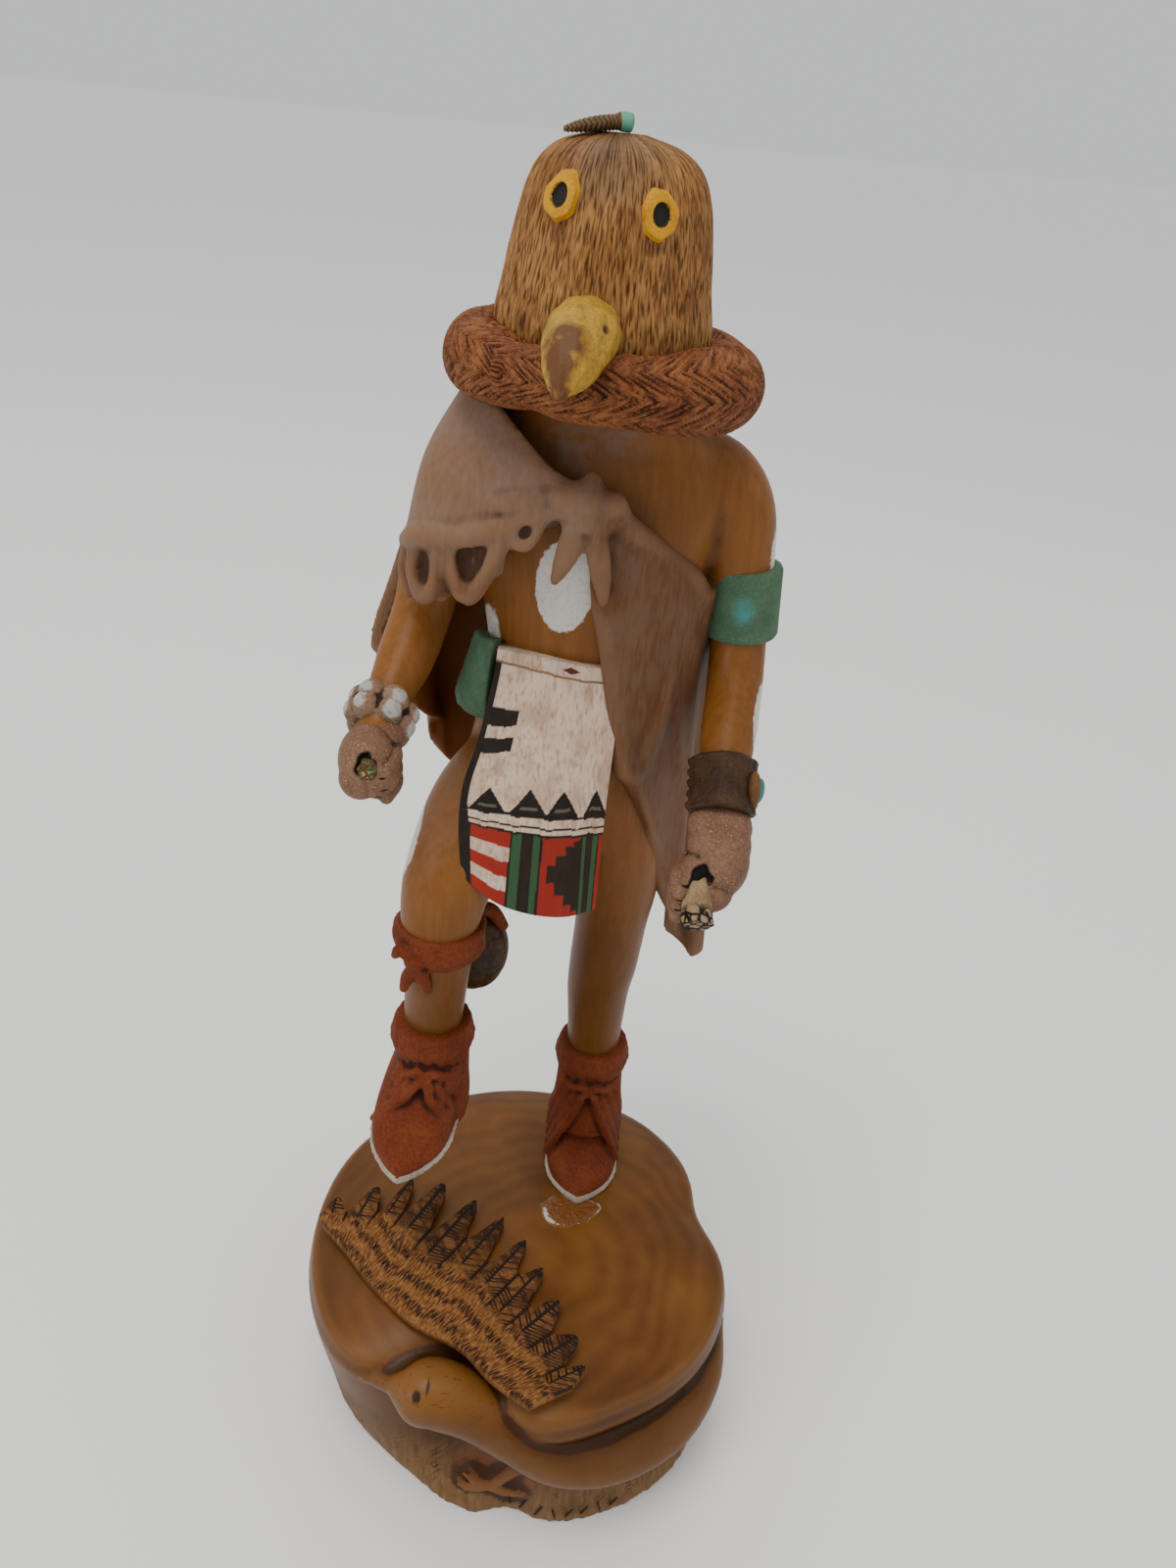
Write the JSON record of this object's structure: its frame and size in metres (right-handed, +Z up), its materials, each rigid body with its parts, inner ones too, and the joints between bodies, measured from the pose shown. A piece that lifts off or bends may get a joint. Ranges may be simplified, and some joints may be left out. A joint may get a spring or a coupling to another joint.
{
  "type": "carved kachina doll",
  "caption": "Carved and painted wooden dancer in a bird mask, one knee raised, on a round plinth with a bird along its rim and a broken-off wing lying loose on top.",
  "frame": {"origin": "centre of the plinth's underside, from the middle of the bounding box", "axes": "+Z up along the figure, -Y is the front that the beak points to, +X is the viewer's right"},
  "size_m": [0.1422, 0.138, 0.387],
  "materials": {
    "base_wood": "satin red-brown stain over carved cottonwood, paler on the lower wall",
    "body_wood": "golden-brown stain with mineral paint in the carved dress",
    "beak_paint": "worn matt yellow paint, brown along the ridge",
    "feather_wood": "burnt and grey-brown painted wood with a turquoise cap",
    "green_stub": "broken rod, green paint with bare wood at the break",
    "bare_stub": "broken rod, bare wood with dark strokes",
    "wing_wood": "light wood with wood-burnt feather barbs",
    "mask_wood": "tan-brown stain rubbed over short gouge cuts",
    "ruff_wood": "red-brown stain over herringbone gouge cuts",
    "cloak_paint": "thin mauve-brown wash, rubbed grey on the folds",
    "white_paint": "dry chalky white paint, thin over the wood",
    "turquoise_paint": "matt green-turquoise paint",
    "red_paint": "matt red-brown earth paint",
    "hand_paint": "pinkish grey paint with fine sparkle",
    "clear_glue": "old clear glue with a pale crust"
  },
  "bodies": {
    "root": {"base": "base_wood", "figure": "body_wood", "beak": "beak_paint", "crown_feather": "feather_wood", "right_hand_stub": "green_stub", "left_hand_stub": "bare_stub", "loose_wing": "wing_wood"}
  },
  "joints": []
}
